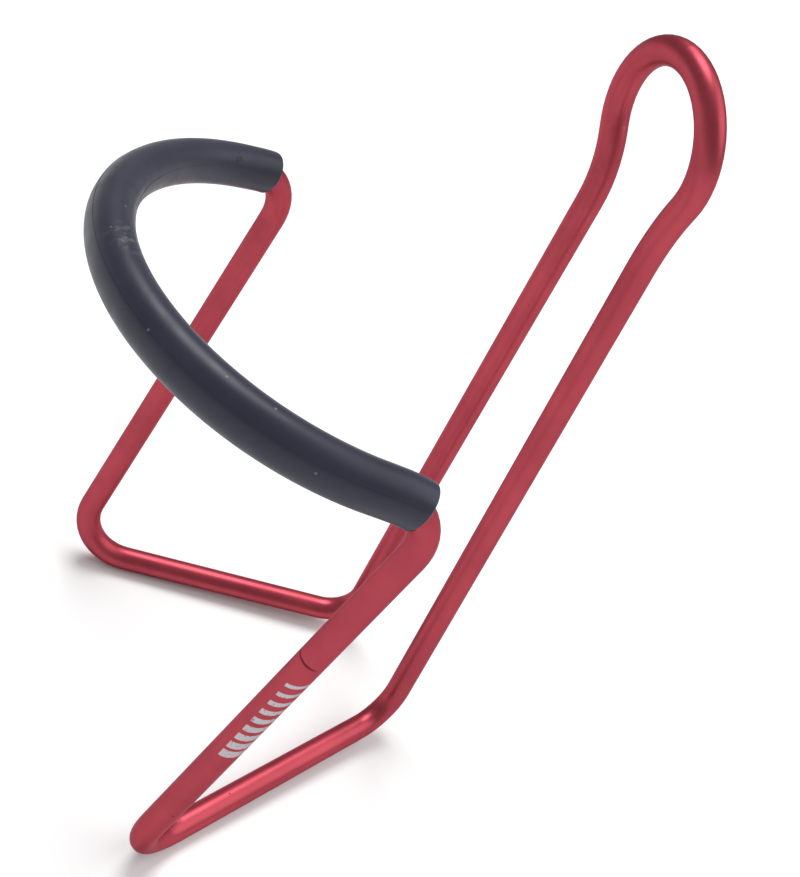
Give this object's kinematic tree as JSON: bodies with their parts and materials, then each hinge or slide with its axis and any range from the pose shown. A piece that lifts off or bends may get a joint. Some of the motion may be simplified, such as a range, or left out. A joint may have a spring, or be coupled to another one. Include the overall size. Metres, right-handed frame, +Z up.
{
  "type": "water bottle cage",
  "caption": "Bicycle water bottle cage bent from one anodised aluminium tube, with a keyhole loop on top, an open base and a rubber sleeve on its front hoop.",
  "frame": {"origin": "midway between the two frame bolts, on the plane that the backs of the rails touch", "axes": "+Z up along the rails towards the top loop, +Y towards the bicycle's frame tube, the bottle on the -Y side, +X to the side that carries the tube's butt seam"},
  "size_m": [0.0868, 0.0837, 0.1522],
  "materials": {
    "red_anodised_tube": "red anodised, satin, over drawn tube",
    "bare_aluminium": "turned, bare",
    "black_rubber": "moulded, soft sheen, blue-black"
  },
  "bodies": {
    "root": {"frame_tube": "red_anodised_tube", "joint_pin": "bare_aluminium", "grip_sleeve": "black_rubber"}
  },
  "joints": []
}
